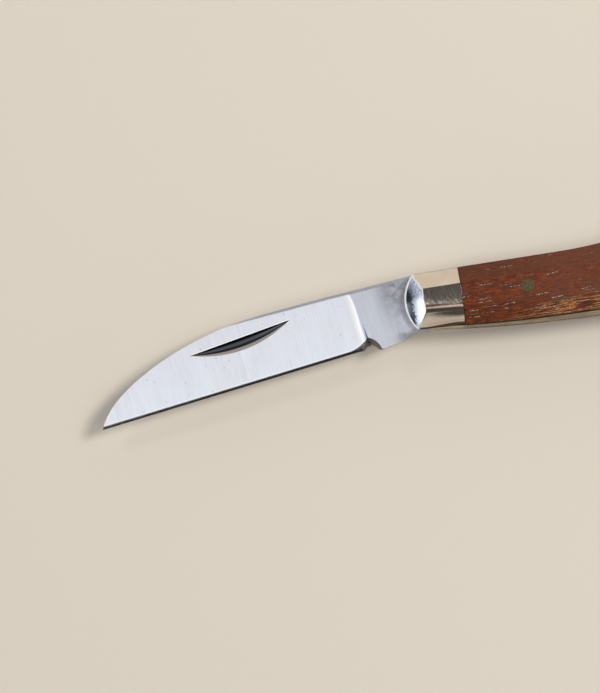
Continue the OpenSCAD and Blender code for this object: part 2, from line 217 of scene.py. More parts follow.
def bored(obj, holes):
    """Cut round holes, each (x, y, diameter, from z, to z) in millimetres, through a piece."""
    cutters = bmesh.new()
    for x, y, diameter, low, high in holes:
        place = Matrix.Translation(Vector((x, y, (low + high) / 2)) * MM)
        bmesh.ops.create_cone(cutters, cap_ends=True, segments=48, radius1=diameter / 2 * MM,
                              radius2=diameter / 2 * MM, depth=(high - low) * MM, matrix=place)
    cutter = as_object("cutter", cutters, [])
    cut = obj.modifiers.new("holes", "BOOLEAN")
    cut.operation = "DIFFERENCE"
    cut.solver = "EXACT"
    cut.object = cutter
    bpy.context.view_layer.update()
    mesh = bpy.data.meshes.new_from_object(obj.evaluated_get(bpy.context.evaluated_depsgraph_get()))
    obj.modifiers.clear()
    old = obj.data
    obj.data = mesh
    mesh.name = old.name
    bpy.data.meshes.remove(old)
    bpy.data.objects.remove(cutter)
    mesh.set_sharp_from_angle(angle=SHARP_TURN)
    return obj


# Outline of the handle, from the liner


# Least upward part of the normal of a flat top, and the slack in its height
UPWARD = 0.99
SLACK = 0.01


def liner_outline():
    """Points round the top of the liner, in millimetres: its sides, from the belly's front corner round
    the butt to the back's front corner, and its round front, from there to the belly's."""
    bm = joined_copy("mark_liner")
    top = {f for f in bm.faces
           if f.normal.z > UPWARD and f.calc_center_median().z / MM > liner_top - SLACK}
    rim = [e for e in bm.edges if sum(f in top for f in e.link_faces) == 1]
    neighbours = {}
    for edge in rim:
        a, b = edge.verts
        neighbours.setdefault(a, []).append(b)
        neighbours.setdefault(b, []).append(a)
    start = max(neighbours, key=lambda v: v.co.x)
    loop = [start]
    before, here = start, neighbours[start][0]
    while here is not start:
        loop.append(here)
        before, here = here, next(v for v in neighbours[here] if v is not before)
    points = [Vector(v.co.xy) / MM for v in loop]
    bm.free()
    front = [p for p in points if p.x < 0]
    back_corner = points.index(max(front, key=lambda p: p.y))
    belly_corner = points.index(min(front, key=lambda p: p.y))
    if back_corner > belly_corner:
        points.reverse()
        back_corner = len(points) - 1 - back_corner
        belly_corner = len(points) - 1 - belly_corner
    # The walk starts at the butt, passes the back's corner, the round front and the belly's corner
    arc = points[back_corner:belly_corner + 1]
    sides = points[belly_corner:] + points[:back_corner + 1]
    return sides, arc


sides, front_arc = liner_outline()
arc_by_y = sorted(front_arc, key=lambda p: p.y)
butt_index = max(range(len(sides)), key=lambda i: sides[i].x)
belly_by_x = sorted(sides[:butt_index], key=lambda p: p.x)
back_by_x = sorted(sides[butt_index:], key=lambda p: p.x)


def between(points, value, along, across):
    """Where a line of points lies across, at a value along it. It is carried on straight past its ends."""
    for a, b in zip(points, points[1:]):
        if value <= b[along]:
            break
    share = (value - a[along]) / (b[along] - a[along])
    return a[across] + share * (b[across] - a[across])


# The handle's edges: belly and back at a place along it, and the front at a place across it


def belly_y(x):
    return between(belly_by_x, x, 0, 1)


def back_y(x):
    return between(back_by_x, x, 0, 1)


def front_x(y):
    return between(arc_by_y, y, 1, 0)


def spaced(points, step):
    """Points a steady step apart along a line of points."""
    out = [points[0]]
    left = step
    for a, b in zip(points, points[1:]):
        length = (b - a).length
        while left <= length:
            out.append(a.lerp(b, left / length))
            left += step
        left -= length
    return out


def relaxed(points, passes):
    """The same line with its small corners smoothed, its ends held."""
    for _ in range(passes):
        inner = [(a + 2 * b + c) / 4 for a, b, c in zip(points, points[1:], points[2:])]
        points = [points[0], *inner, points[-1]]
    return points


# Covers: the wooden scales as rings drawn in from the outline, the bolsters as a grid over their section


def bend(a, b, c, steps):
    """Points on a round corner from a to c that aims at b, without its first point."""
    shares = [i / steps for i in range(1, steps + 1)]
    return [a * (1 - t) ** 2 + b * 2 * t * (1 - t) + c * t ** 2 for t in shares]


def section(backness, belly_side, round_steps=5, facet_steps=3, swell=BELLY_BULGE):
    """Section of a cover as (distance in, height) from its inner face to the flat on top. Backness is
    0 along the belly and 1 along the back."""
    belly = 1 - backness
    setback, lean, wall, facet = belly_side
    foot = Vector((belly * setback, 0))
    edge = Vector((belly * (setback + lean), backness * BACK_WALL + belly * wall))
    crease = Vector((backness * BACK_FACET + belly * facet, cover_t))
    low, high = (backness * p + belly * q for p, q in zip(BACK_ROUNDS, BELLY_ROUNDS))
    slope = (crease - edge).normalized()
    start = edge + (foot - edge).normalized() * low
    facet_start = edge + slope * low
    facet_end = crease - slope * high
    points = [foot, start] + bend(start, edge, facet_start, round_steps)
    bulge = belly * swell * Vector((-slope.y, slope.x))
    for i in range(1, facet_steps + 1):
        share = i / facet_steps
        points.append(facet_start.lerp(facet_end, share) + bulge * 4 * share * (1 - share))
    return points + bend(facet_end, crease, crease + Vector((high, 0)), round_steps)


def smooth_step(t):
    """Share from 0 to 1 with a soft start and a soft end."""
    t = max(0.0, min(1.0, t))
    return t * t * (3 - 2 * t)


def wood_belly(x):
    """Belly side of the scale at a place along the handle."""
    share = max(0.0, min(1.0, (x - JOINT_X) / (WOOD_EVEN - JOINT_X)))
    return [front + (rear - front) * share for front, rear in zip(WOOD_FRONT_BELLY, WOOD_BELLY)]


# How far the scale's outline is carried on at the front, before it is cut at the joint, the step between
# its points, and the passes that smooth them
RUN_OUT = 12.0
OUTLINE_STEP = 0.6
OUTLINE_PASSES = 8


def scale_bmesh():
    """The mark side's scale: the outline drawn in ring by ring and cut at the joint."""
    back_slope = (sides[-1] - sides[-2]).normalized()
    belly_slope = (sides[0] - sides[1]).normalized()
    line = [sides[0] + belly_slope * RUN_OUT, *sides, sides[-1] + back_slope * RUN_OUT]
    line = relaxed(spaced(line, OUTLINE_STEP), OUTLINE_PASSES)
    count = len(line)
    outward = []
    for i in range(count):
        along = line[min(i + 1, count - 1)] - line[max(i - 1, 0)]
        outward.append(Vector((along.y, -along.x)).normalized())
    sections = [section(smooth_step((normal.y + 1) / 2), wood_belly(at.x))
                for normal, at in zip(outward, line)]
    bm = bmesh.new()
    station = bm.verts.layers.int.new("station")
    base = [bm.verts.new() for _ in line]
    for i, vert in enumerate(base):
        vert[station] = i

    def place(verts, ring):
        for vert in verts:
            i = vert[station]
            inward, height = sections[i][ring]
            at = line[i] - outward[i] * inward
            vert.co = Vector((at.x, at.y, cover_low.z + height)) * MM

    place(base, 0)
    face = bm.faces.new(base)
    for ring in range(1, len(sections[0])):
        made = bmesh.ops.extrude_face_region(bm, geom=[face])["geom"]
        if ring > 1:
            bm.faces.remove(face)
        face = next(item for item in made if isinstance(item, bmesh.types.BMFace))
        place(face.verts, ring)
    joint = Vector((JOINT_X + JOINT_GAP, 0, 0)) * MM
    square_on = Vector((math.cos(JOINT_LEAN), math.sin(JOINT_LEAN), 0))
    cut = bmesh.ops.bisect_plane(bm, geom=bm.verts[:] + bm.edges[:] + bm.faces[:], plane_co=joint,
                                 plane_no=square_on, clear_inner=True)["geom_cut"]
    bmesh.ops.contextual_create(bm, geom=[item for item in cut if isinstance(item, bmesh.types.BMEdge)])
    bmesh.ops.recalc_face_normals(bm, faces=bm.faces)
    return bm


def soft_least(a, b, width):
    """The lesser of two heights, with the corner between them rounded over a width."""
    near = max(width - abs(a - b), 0.0) / width
    return min(a, b) - near * near * width / 4


def scoop_height(x, y):
    """Height that the hollow leaves at a place on the bolster, and far above it where it takes nothing."""
    rise = cover_t - SCOOP_RIM
    chord = math.hypot(SCOOP_LENGTH, rise)
    drop = math.sqrt(SCOOP_RADIUS ** 2 - (chord / 2) ** 2)
    centre_x = bolster_front + SCOOP_LENGTH / 2 - drop * rise / chord
    centre_z = SCOOP_RIM + rise / 2 + drop * SCOOP_LENGTH / chord
    middle = (back_y(0) + belly_y(0)) / 2
    offset = x * math.cos(SCOOP_LEAN) + (y - middle) * math.sin(SCOOP_LEAN) - centre_x
    if offset >= SCOOP_RADIUS:
        return 2 * cover_t
    dip = (BACK_DIP if y > middle else BELLY_DIP) * (y - middle) ** 2
    return centre_z - math.sqrt(SCOOP_RADIUS ** 2 - offset ** 2) - dip


# Rounds at the bolster's front, which is its lip, and at its rear, on the back facet and elsewhere
EdgeRound = namedtuple("EdgeRound", "width depth")
LIP = EdgeRound(0.40, 0.22)
REAR_ROUND = EdgeRound(0.1, 0.08)
FLAT_REAR_ROUND = EdgeRound(0.1, 0.015)
# Width of the round between the hollow and the faces it cuts
HOLLOW_ROUND = 0.12
# Depth in the hollow over which its own finish comes in, so that its rim stays bright
BRIGHT_RIM = 0.15
# Width over which the lip's painted highlight gives way to the hollow's finish
LIP_FADE = 0.1
# Reach of the painted highlight line along the hollow's edge, and the place across the handle where it
# starts
CREST_REACH = 0.22
CREST_Y = 1.0
# Height of the flat's crown, whose middle is level with the top of the scales
CROWN = 0.04
# Least metal that the lip keeps
LEAST_METAL = 0.05
# Steps of the bolster's grid across its flat, and its columns along it, as (first share of the length,
# step, count), close together at both ends
FLAT_STEPS = 24
COLUMNS = ((0.0, 0.004, 8), (0.0408, 0.0088, 59), (0.582, 0.031, 14), (0.988, 0.003, 5))


def rounded_off(distance, edge_round):
    """Drop of a round at a distance from its edge."""
    return edge_round.depth * max(0.0, 1 - distance / edge_round.width) ** 2


def bolster_lines():
    """Lines along the bolster from the belly to the back: the side that each is measured from, and its
    (distance, height) at the bolster's front and at its rear."""
    front = section(0.0, FRONT_BELLY, round_steps=10, facet_steps=12, swell=FRONT_BULGE)
    rear = section(0.0, BOLSTER_BELLY, round_steps=10, facet_steps=12)
    back = section(1.0, BOLSTER_BELLY, round_steps=6, facet_steps=16)
    lines = [("belly", *pair) for pair in zip(front, rear)]
    for i in range(1, FLAT_STEPS):
        share = i / FLAT_STEPS
        at = Vector((share, cover_t + CROWN * 4 * share * (1 - share)))
        lines.append(("flat", at, at))
    # The back's wall is upright, so its foot is left to the rim that is drawn down
    return lines + [("back", at, at) for at in back[:0:-1]]


def line_place(line, x):
    """Place across the handle and height of one of the bolster's lines, at a place along it."""
    kind, front, rear = line
    distance, height = front.lerp(rear, smooth_step((x - FLARE[0]) / (FLARE[1] - FLARE[0])))
    if kind == "belly":
        return belly_y(x) + distance, height
    if kind == "back":
        return back_y(x) - distance, height
    low = belly_y(x) + BOLSTER_BELLY.facet + BELLY_ROUNDS.high
    high = back_y(x) - BACK_FACET - BACK_ROUNDS.high
    return low + (high - low) * distance, height


def bolster_bmesh():
    """The mark side's bolster: a grid laid over its section, hollowed at the front and closed below."""
    lines = bolster_lines()
    shares = [first + step * i for first, step, count in COLUMNS for i in range(count)]
    bm = bmesh.new()
    hollow = bm.verts.layers.float.new("hollow")
    lip = bm.verts.layers.float.new("lip")
    crest = bm.verts.layers.float.new("crest")
    bmesh.ops.create_grid(bm, x_segments=len(shares) - 1, y_segments=len(lines) - 1, size=1.0)
    for vert in bm.verts:
        column = round((vert.co.x + 1) / 2 * (len(shares) - 1))
        line = lines[round((vert.co.y + 1) / 2 * (len(lines) - 1))]
        # Both ends of a line depend on its place across the handle there, and settle in a few passes
        start = bolster_front
        for _ in range(6):
            start = front_x(line_place(line, start)[0])
        end = JOINT_X
        for _ in range(3):
            end = JOINT_X - math.tan(JOINT_LEAN) * line_place(line, end)[0]
        x = start + (end - start) * shares[column]
        y, height = line_place(line, x)
        depth = height - scoop_height(x, y)
        # The lip and crest shares mark where the material paints a highlight
        behind_lip = smooth_step((x - start - LIP.width + LIP_FADE) / LIP_FADE)
        vert[lip] = 1 - behind_lip
        vert[hollow] = smooth_step(depth / BRIGHT_RIM) * behind_lip
        vert[crest] = smooth_step(1 - abs(depth) / CREST_REACH) * smooth_step((y - CREST_Y) / CREST_REACH)
        height = soft_least(height, scoop_height(x, y), HOLLOW_ROUND)
        rear_round = REAR_ROUND if line[0] == "back" else FLAT_REAR_ROUND
        height -= rounded_off(x - start, LIP) + rounded_off(end - x, rear_round)
        vert.co = Vector((x, y, cover_low.z - CROWN + max(height, CROWN + LEAST_METAL))) * MM
    rim = [e for e in bm.edges if e.is_boundary]
    made = bmesh.ops.extrude_edge_only(bm, edges=rim)["geom"]
    for vert in (item for item in made if isinstance(item, bmesh.types.BMVert)):
        vert.co.z = cover_low.z * MM
    bmesh.ops.contextual_create(bm, geom=[e for e in bm.edges if e.is_boundary])
    bmesh.ops.recalc_face_normals(bm, faces=bm.faces)
    return bm


def on_side(side, bm):
    """A cover as it is made, for the mark side, or turned over, for the pile side."""
    if side == "pile":
        for vert in bm.verts:
            vert.co.z = 2 * pivot_z * MM - vert.co.z
        bmesh.ops.reverse_faces(bm, faces=bm.faces)
        bm.normal_update()
    return bm


# Materials


def opaque(value):
    """A colour with its alpha, and anything else as it is."""
    if isinstance(value, tuple) and len(value) == 3:
        return (*value, 1.0)
    return value


class Net:
    """A node tree that is wired up as it is written."""

    def __init__(self, tree):
        self.tree = tree

    def node(self, kind, settings=None, **sockets):
        """Shader node with its sockets fed. An underscore in a socket's name stands for a space."""
        made = self.tree.nodes.new("ShaderNode" + kind)
        for name, value in (settings or {}).items():
            setattr(made, name, value)
        for name, value in sockets.items():
            self.feed(made.inputs[name.replace("_", " ")], value)
        return made

    def feed(self, socket, value):
        """Link another socket to this one, or set its value."""
        if isinstance(value, bpy.types.NodeSocket):
            self.tree.links.new(value, socket)
        else:
            socket.default_value = value

    def worked_out(self, kind, operation, values):
        made = self.node(kind, {"operation": operation})
        for socket, value in zip(made.inputs, values):
            self.feed(socket, value)
        return made.outputs

    def maths(self, operation, *values):
        return self.worked_out("Math", operation, values)[0]

    def vector_maths(self, operation, *values):
        return self.worked_out("VectorMath", operation, values)

    def times(self, *factors):
        product = factors[0]
        for factor in factors[1:]:
            product = self.maths("MULTIPLY", product, factor)
        return product

    def plus(self, a, b):
        return self.maths("ADD", a, b)

    def minus(self, a, b):
        return self.maths("SUBTRACT", a, b)

    def apart(self, a, b):
        """How far apart two values are."""
        return self.maths("ABSOLUTE", self.minus(a, b))

    def axes(self, vector):
        """X, Y and Z of a vector."""
        return self.node("SeparateXYZ", Vector=vector).outputs[:]

    def blend(self, share, a, b):
        """Colour that passes from a to b with a share from 0 to 1."""
        made = self.node("Mix", {"data_type": "RGBA", "blend_type": "MIX", "clamp_factor": True})
        # Of this node's many sockets, 6 and 7 are the two colours and output 2 is the blended one
        for index, value in ((0, share), (6, a), (7, b)):
            self.feed(made.inputs[index], opaque(value))
        return made.outputs[2]

    def ease(self, value, low, high, to_low=0.0, to_high=1.0):
        """Number that passes smoothly from to_low to to_high as a value goes from low to high."""
        made = self.node("MapRange", {"interpolation_type": "SMOOTHSTEP"}, Value=value, From_Min=low,
                         From_Max=high, To_Min=to_low, To_Max=to_high)
        return made.outputs["Result"]

    def by_share(self, share, at_none, at_full):
        """Number that passes smoothly from at_none to at_full with a share from 0 to 1."""
        return self.ease(share, 0.0, 1.0, at_none, at_full)

    def noise(self, vector, scale, detail, roughness, distortion=0.0):
        made = self.node("TexNoise", Vector=vector, Scale=scale, Detail=detail, Roughness=roughness,
                         Distortion=distortion)
        return made.outputs["Fac"]

    def mapped(self, vector, **sockets):
        return self.node("Mapping", {"vector_type": "POINT"}, Vector=vector, **sockets).outputs[0]

    def stretch(self, vector, scale, turn=0.0, move=(0, 0, 0)):
        """Millimetres turned about Z, moved and then scaled, so that a pattern runs along a direction."""
        return self.mapped(self.mapped(vector, Location=move, Rotation=(0, 0, -turn)), Scale=scale)

    def streaks(self, vector, scale, detail, roughness, turn=0.0, move=(0, 0, 0)):
        """Noise with a scale of its own along each axis."""
        return self.noise(self.stretch(vector, scale, turn, move), 1.0, detail, roughness)

    def place(self):
        """Place on the piece in millimetres."""
        return self.mapped(self.node("TexCoord").outputs["Object"], Scale=(1 / MM, 1 / MM, 1 / MM))


def group(name, inputs, outputs, build):
    """Shader node group with named inputs, each given as (name, kind, default), and named outputs, which
    are all numbers."""
    tree = bpy.data.node_groups.new(name, "ShaderNodeTree")
    for label, kind, default in inputs:
        socket = tree.interface.new_socket(name=label, in_out="INPUT", socket_type="NodeSocket" + kind)
        if default is not None:
            socket.default_value = default
    for label in outputs:
        tree.interface.new_socket(name=label, in_out="OUTPUT", socket_type="NodeSocketFloat")
    net = Net(tree)
    source = tree.nodes.new("NodeGroupInput").outputs
    target = tree.nodes.new("NodeGroupOutput").inputs
    for label, value in build(net, source).items():
        net.feed(target[label], value)
    return tree


def brushing(net, source):
    """Fine parallel lines across X, in two sizes, and slow clouds, from a place in millimetres."""
    fine = net.noise(net.stretch(source["Vector"], (9.0, 0.25, 0.4)), source["Fineness"], 2.0, 0.6)
    broad = net.noise(net.stretch(source["Vector"], (2.6, 0.10, 0.2)), source["Fineness"], 2.0, 0.5)
    clouds = net.noise(source["Vector"], 0.14, 2.0, 0.5)
    lines = net.plus(net.times(fine, 0.6), net.times(broad, 0.4))
    return {"Lines": net.ease(lines, 0.3, 0.7), "Clouds": net.ease(clouds, 0.35, 0.65)}


def scratching(net, source):
    """Thin stray scratches in two directions, as a mask."""
    masks = []
    for turn, length in ((0.9, 0.16), (-0.5, 0.22)):
        lines = net.streaks(source["Vector"], (7.0, length, 1.0), 1.0, 0.4, turn)
        where = net.noise(source["Vector"], 0.55 + 0.3 * length, 1.0, 0.5)
        masks.append(net.times(net.ease(lines, 0.60, 0.68), net.ease(where, 0.42, 0.62)))
    return {"Mask": net.times(net.maths("MAXIMUM", *masks), source["Amount"])}


def specking(net, source):
    """Small round specks, each in its own cell and many cells empty, as a mask."""
    cells = net.node("TexVoronoi", {"feature": "F1"}, Vector=source["Vector"], Scale=source["Scale"],
                     Randomness=1.0)
    spot = net.ease(cells.outputs["Distance"], 0.06, 0.20, 1.0, 0.0)
    chosen = net.node("SeparateColor", Color=cells.outputs["Color"]).outputs["Red"]
    return {"Mask": net.times(spot, net.maths("LESS_THAN", chosen, source["Cover"]))}


def pore_dashes(net, source):
    """Open pores: short thin dashes along X, one to a cell and many cells empty. Gives their mask and
    a number that differs from dash to dash."""
    at = net.stretch(source["Vector"], (0.21, 1.7, 1.7))
    cell = net.node("TexVoronoi", {"feature": "F1"}, Vector=at, Scale=1.0, Randomness=0.9)
    x, y, z = net.axes(net.vector_maths("SUBTRACT", at, cell.outputs["Position"])[0])
    number = net.node("SeparateColor", Color=cell.outputs["Color"])
    along = net.ease(net.maths("ABSOLUTE", x), 0.22, 0.36, 1.0, 0.0)
    off_axis = net.node("CombineXYZ", Y=y, Z=net.times(z, 0.5)).outputs[0]
    across = net.ease(net.vector_maths("LENGTH", off_axis)["Value"], source["Width"], 0.0)
    kept = net.maths("LESS_THAN", number.outputs["Red"], source["Cover"])
    return {"Mask": net.times(along, across, kept), "Number": number.outputs["Green"]}


# Painted shade in the seam along the belly: its fade over the top of the cover's wall, where it starts
# behind the bolster's lip, and where it ends across the handle
SEAM_FADE = (-0.05, 0.12)
SEAM_START = (-4.4, -3.8)
SEAM_SIDE = (-2.0, -1.0)


def seam_darkening(net, source):
    """Painted shade at the foot of a cover along the belly, up to a height over the liner, as a mask."""
    x, y, z = net.axes(source["Vector"])
    height = net.minus(net.apart(z, pivot_z), cover_low.z - pivot_z)
    return {"Mask": net.times(net.ease(net.minus(height, source["Top"]), *SEAM_FADE, 0.95, 0.0),
                              net.ease(x, *SEAM_START), net.ease(y, *SEAM_SIDE, 1.0, 0.0))}


# Input that every group has, for the place in millimetres
PLACE = ("Vector", "Vector", None)
brush_group = group("brush lines", [PLACE, ("Fineness", "Float", 1.0)], ["Lines", "Clouds"], brushing)
scratch_group = group("stray scratches", [PLACE, ("Amount", "Float", 1.0)], ["Mask"], scratching)
speck_group = group("specks", [PLACE, ("Scale", "Float", 1.0), ("Cover", "Float", 0.1)], ["Mask"], specking)
pore_group = group("open pores", [PLACE, ("Width", "Float", 0.16), ("Cover", "Float", 0.2)],
                   ["Mask", "Number"], pore_dashes)
seam_group = group("painted shade in the seam", [PLACE, ("Top", "Float", 1.0)], ["Mask"], seam_darkening)


def placed(net, tree, at, **sockets):
    """Outputs of a shared group that is put into a material at a place in millimetres."""
    made = net.tree.nodes.new("ShaderNodeGroup")
    made.node_tree = tree
    for name, value in {"Vector": at, **sockets}.items():
        net.feed(made.inputs[name], value)
    return made.outputs


# Turn that lays the brush lines along a piece, which otherwise run across it
LENGTHWISE = math.pi / 2


def brushed(net, at, fineness, turn=0.0):
    """Brush lines and clouds, with the lines turned."""
    return placed(net, brush_group, net.stretch(at, (1, 1, 1), turn) if turn else at, Fineness=fineness)


def scratched(net, at, amount):
    return placed(net, scratch_group, at, Amount=amount)["Mask"]


def specked(net, at, scale, cover):
    return placed(net, speck_group, at, Scale=scale, Cover=cover)["Mask"]


def material(name, build):
    """Material whose Principled sockets are fed by what build returns."""
    made = bpy.data.materials.new(name)
    made.use_nodes = True
    tree = made.node_tree
    tree.nodes.clear()
    net = Net(tree)
    shader = tree.nodes.new("ShaderNodeBsdfPrincipled")
    tree.links.new(shader.outputs[0], tree.nodes.new("ShaderNodeOutputMaterial").inputs["Surface"])
    for label, value in build(net).items():
        net.feed(shader.inputs[label], opaque(value))
    return made


def surface(net, tone, rough, height, depth, metallic=1.0):
    """Principled sockets of a surface, with a height whose full range is a depth in millimetres."""
    normal = net.node("Bump", Height=height, Distance=depth * MM, Strength=1.0).outputs[0]
    return {"Base Color": tone, "Metallic": metallic, "Roughness": rough, "Normal": normal}


# Finishes of the blade. X is the place along the edge, towards the butt and 0 under the pivot, and Y the
# height above the edge. A pair gives the two places between which something fades in or out.


# Where the ground face takes a painted highlight at the foot of the plunge, and where that highlight turns
# warmer
PLUNGE_HIGHLIGHT = (-18.2, -17.3)
PLUNGE_HIGHLIGHT_WARM = (-17.3, -16.8)
# The filed flank under the ground face, painted dark as shade: its height along the edge, where it starts to
# grow towards the notch, how fast, and where its painted dark fades over its top
FLANK_TOP = 0.6
FLANK_START = -20.5
FLANK_GROWTH = 0.08
FLANK_FADE = (-0.10, 0.06)
# Painted highlight line along the flank: the height of its middle over the flank, and its fade away from
# there
HIGHLIGHT_LINE = 0.16
HIGHLIGHT_LINE_FADE = (0.04, 0.16)
# Painted highlight rim along the nick's straight side, in shares of the nick
NICK_HIGHLIGHT_ABOVE = (0.03, 0.11)
NICK_HIGHLIGHT_BELOW = (-0.03, 0.0)
NICK_HIGHLIGHT_ENDS = (0.96, 1.02)
# Where the tang grows darker and mottled, along it and up it, and where the darkening at the foot of the
# kick fades
DARKER_ALONG = (-13.0, -7.0)
DARKER_UP = (2.0, 10.0)
KICK_FOOT = (1.0, 1.7)
KICK_FRONT = (-11.0, -8.0)
# Bands across the nick, in shares of its depth, of which the black one is painted shade, and the fade of the
# pale one towards the nick's end
NICK_SHADE = (0.14, 0.34)
NICK_DARK = (0.40, 0.56)
NICK_PALE = (0.66, 0.76)
PALE_END = (0.80, 0.95)
# Least bow that the depth in the nick is measured by, near its two ends
LEAST_BOW = 0.02


def edge_frame(net):
    """Place on the blade in millimetres, as on_blade gives it but with X towards the butt."""
    return net.mapped(net.stretch(net.place(), (1, 1, 1), EDGE_SLOPE), Location=(0, EDGE_DROP, 0))


def nick_share(net, at):
    """Place along the nick's straight side, from -1 to 1, and below it, from 0 to -1."""
    middle = net.mapped(at, Location=(NICK_MIDDLE[0], -NICK_TOP, 0))
    turned = net.mapped(middle, Rotation=(0, 0, -NICK_SLOPE))
    x, y, _ = net.axes(net.mapped(turned, Scale=(1 / NICK_HALF_LENGTH, 1 / NICK_WIDTH, 0)))
    return x, y


def ground_steel(net):
    """Ground faces of the blade: fine lines square to the cutting edge, a few pits, a painted highlight at
    the plunge, a painted highlight line over the flank, which is filed and painted dark as shade, and a
    painted highlight rim over the nick."""
    at = edge_frame(net)
    x, y, _ = net.axes(at)
    brush = brushed(net, at, 1.0)
    pits = specked(net, at, 0.8, 0.22)
    tone = net.blend(brush["Lines"], (0.72, 0.745, 0.80), (0.80, 0.82, 0.88))
    tone = net.blend(net.times(brush["Clouds"], 0.4), tone, (0.80, 0.83, 0.90))
    tone = net.blend(net.times(pits, 0.4), tone, (0.35, 0.33, 0.33))
    # Painted highlight: the ground face is painted whiter and warmer at the foot of the plunge
    plunge_highlight = net.blend(net.ease(x, *PLUNGE_HIGHLIGHT_WARM), (0.86, 0.86, 0.89), (1.0, 0.93, 0.83))
    tone = net.blend(net.ease(x, *PLUNGE_HIGHLIGHT, 0.0, 0.9), tone, plunge_highlight)
    past_start = net.maths("MAXIMUM", net.minus(x, FLANK_START), 0.0)
    flank_top = net.maths("MULTIPLY_ADD", net.times(past_start, past_start), FLANK_GROWTH, FLANK_TOP)
    above = net.minus(y, flank_top)
    # Painted highlight: a whiter line just over the dark flank
    light = net.ease(net.apart(above, HIGHLIGHT_LINE), *HIGHLIGHT_LINE_FADE, 0.5, 0.0)
    tone = net.blend(light, tone, (0.95, 0.96, 1.0))
    # Painted shade: the filed flank is painted near black in stone-like streaks, as the sharpened band is
    stone = net.streaks(at, (2.0, 5.0, 1.0), 3.0, 0.7)
    dark_flank = net.blend(net.ease(stone, 0.35, 0.70), (0.06, 0.06, 0.06), (0.24, 0.24, 0.23))
    tone = net.blend(net.ease(above, *FLANK_FADE, 1.0, 0.0), tone, dark_flank)
    along, below = nick_share(net, at)
    # Painted highlight: a near-white rim along the nick's straight side
    rim = net.times(net.ease(below, *NICK_HIGHLIGHT_ABOVE, 1.0, 0.0), net.ease(below, *NICK_HIGHLIGHT_BELOW),
                    net.ease(net.maths("ABSOLUTE", along), *NICK_HIGHLIGHT_ENDS, 1.0, 0.0))
    tone = net.blend(rim, tone, (1.0, 0.99, 0.97))
    rough = net.by_share(brush["Lines"], 0.34, 0.28)
    return surface(net, tone, rough, net.minus(brush["Lines"], net.times(pits, 2.0)), 0.0015)


def tang_steel(net):
    """Tang: satin like the ground faces, but darker and mottled up by the bolster."""
    at = edge_frame(net)
    x, y, _ = net.axes(at)
    lines = brushed(net, at, 0.9)["Lines"]
    scratches = scratched(net, at, 0.6)
    mottle = net.ease(net.noise(at, 0.7, 4.0, 0.65, 0.8), 0.32, 0.68)
    darker_up = net.times(net.ease(net.plus(x, net.times(mottle, 2.0)), *DARKER_ALONG),
                        net.ease(y, *DARKER_UP, 0.35, 1.0))
    satin = net.blend(lines, (0.64, 0.665, 0.73), (0.74, 0.765, 0.84))
    darker_tone = net.blend(mottle, (0.40, 0.41, 0.46), (0.66, 0.68, 0.74))
    tone = net.blend(darker_up, satin, darker_tone)
    tone = net.blend(net.times(scratches, 0.4), tone, (0.86, 0.87, 0.90))
    # Darker at the foot of the kick
    foot = net.ease(net.plus(y, net.times(mottle, 0.5)), *KICK_FOOT, 0.6, 0.0)
    tone = net.blend(net.times(foot, net.ease(x, *KICK_FRONT)), tone, (0.20, 0.20, 0.22))
    rough = net.plus(net.by_share(darker_up, 0.42, 0.30), net.times(mottle, 0.04))
    return surface(net, tone, rough, net.plus(net.times(lines, 0.5), scratches), 0.002)


def spine_steel(net):
    """Back of the blade and its two chamfers: ground along the blade, greyer than the faces."""
    lines = brushed(net, edge_frame(net), 1.2, LENGTHWISE)["Lines"]
    tone = net.blend(lines, (0.44, 0.445, 0.53), (0.64, 0.65, 0.75))
    return surface(net, tone, 0.4, lines, 0.003)


def filed_steel(net):
    """Notch at the heel: left grey from the file, with lines down its wall."""
    lines = net.streaks(edge_frame(net), (7.0, 7.0, 0.3), 3.0, 0.6)
    tone = net.blend(net.ease(lines, 0.35, 0.65), (0.10, 0.095, 0.09), (0.22, 0.20, 0.185))
    return surface(net, tone, 0.4, lines, 0.01)


def edge_steel(net):
    """Sharpened band, with lines from the stone: painted dark for the dark surroundings that it mirrors,
    with painted glints.
    """
    at = edge_frame(net)
    lines = brushed(net, at, 1.6, LENGTHWISE)["Lines"]
    painted_glints = net.streaks(at, (1.8, 5.0, 1.0), 3.0, 0.7)
    # Painted reflection: the band's tone is near black for the dark that it mirrors, and painted glints
    # lighten it in spots
    tone = net.blend(lines, (0.045, 0.046, 0.05), (0.13, 0.13, 0.14))
    tone = net.blend(net.ease(painted_glints, 0.60, 0.70, 0.0, 0.7), tone, (0.55, 0.56, 0.58))
    return surface(net, tone, 0.34, net.plus(lines, painted_glints), 0.004)


def nick_steel(net):
    """Inside of the nail nick: black under its straight side, as painted shade, then blue-grey, dark, and
    pale along its curved side, where the steel is too dull to mirror."""
    at = edge_frame(net)
    lines = brushed(net, at, 0.7, LENGTHWISE)["Lines"]
    along, below = nick_share(net, at)
    bow = net.maths("MAXIMUM", net.minus(1.0, net.times(along, along)), LEAST_BOW)
    depth = net.maths("DIVIDE", net.times(below, -1.0), bow)
    tone = net.blend(lines, (0.26, 0.29, 0.35), (0.38, 0.42, 0.50))
    # Painted shade: near black under the nick's straight side, whose wall faces away from the light
    tone = net.blend(net.ease(depth, *NICK_SHADE, 0.97, 0.0), tone, (0.012, 0.011, 0.011))
    tone = net.blend(net.ease(depth, *NICK_DARK, 0.0, 0.86), tone, (0.03, 0.029, 0.028))
    pale = net.times(net.ease(depth, *NICK_PALE), net.ease(along, *PALE_END, 1.0, 0.0))
    tone = net.blend(pale, tone, (0.37, 0.32, 0.29))
    return surface(net, tone, 0.3, lines, 0.002, net.by_share(pale, 1.0, 0.1))


# Finishes of the handle. X is the place along it, towards the butt, and Y across it, towards the back. A
# pair gives the two places between which something fades in or out.


